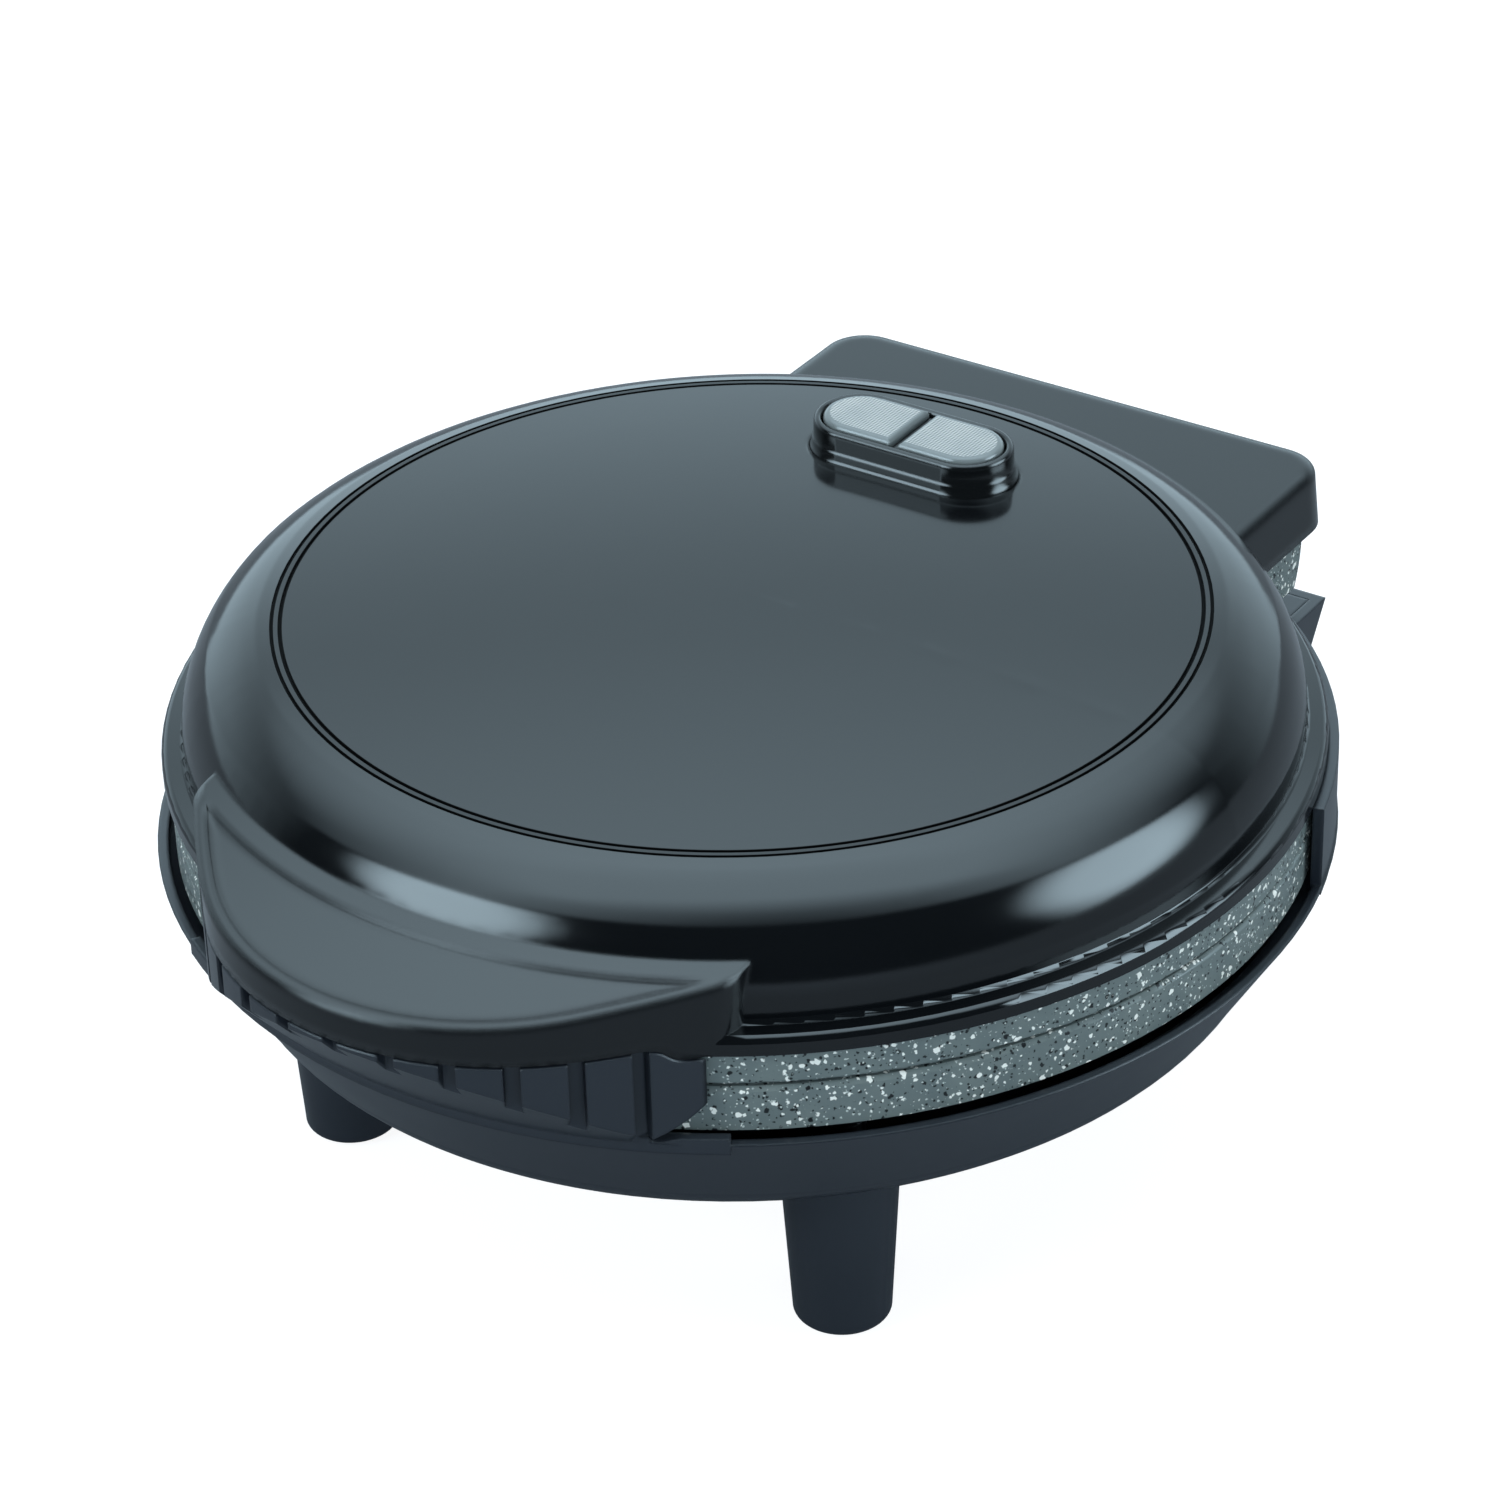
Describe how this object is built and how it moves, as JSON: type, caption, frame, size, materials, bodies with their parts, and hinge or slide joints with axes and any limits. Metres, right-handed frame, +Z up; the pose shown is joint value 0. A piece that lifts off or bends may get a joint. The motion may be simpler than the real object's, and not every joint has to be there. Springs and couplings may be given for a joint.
{
  "type": "omelette maker",
  "caption": "Round hinged-lid countertop cooker on tall feet, with half-moon wells in its coated cooking plates and a scalloped front handle.",
  "frame": {"origin": "on the table under the middle of the closed cooker's overall length and width, at the underside of the foot pads", "axes": "+Z up, +Y towards the hinge, -Y towards the handle, +X to the right seen from the handle"},
  "size_m": [0.2248, 0.2576, 0.1147],
  "materials": {
    "base_plastic": "satin black-blue moulded plastic",
    "lid_plastic": "glossy slate moulded plastic",
    "pad_rubber": "matte black rubber",
    "speckled_coating": "grey non-stick coating with white and black specks on cast aluminium",
    "heater_steel": "dull steel tube",
    "reflector_metal": "bright rolled sheet",
    "screw_steel": "zinc-plated steel",
    "terminal_plastic": "off-white plastic",
    "bezel_plastic": "dark plastic",
    "lens_clear": "clear moulded plastic",
    "lamp_red": "red lamp body",
    "lamp_green": "green lamp body",
    "fuse_metal": "plated can"
  },
  "bodies": {
    "base": {"base_housing": "base_plastic", "feet": "base_plastic", "foot_pads": "pad_rubber", "lower_plate": "speckled_coating", "lower_heater": "heater_steel", "lower_reflector": "reflector_metal", "lower_plate_screws": "screw_steel", "hinge_pins": "screw_steel", "pin_clips": "screw_steel", "terminal_block": "terminal_plastic", "thermostat": "reflector_metal", "thermostat_bracket": "reflector_metal", "thermostat_screws": "screw_steel", "cord_gland": "bezel_plastic", "hinge_box_cover": "base_plastic", "hinge_cover_screws": "screw_steel"},
    "lid": {"lid_cover": "lid_plastic", "upper_plate": "speckled_coating", "upper_heater": "heater_steel", "upper_reflector": "reflector_metal", "upper_reflector_screws": "screw_steel", "upper_plate_screws": "screw_steel", "indicator_bezel": "bezel_plastic", "power_lens": "lens_clear", "ready_lens": "lens_clear", "lamp_holder": "bezel_plastic", "power_lamp": "lamp_red", "ready_lamp": "lamp_green", "thermal_fuse": "fuse_metal", "fuse_strap": "reflector_metal", "fuse_strap_screws": "screw_steel"}
  },
  "joints": [
    {"name": "lid_hinge", "type": "hinge", "parent": "base", "child": "lid", "pos_m": [0, 0.1157, 0.0755], "axis": [-1, 0, 0], "range_deg": [0, 100]}
  ]
}
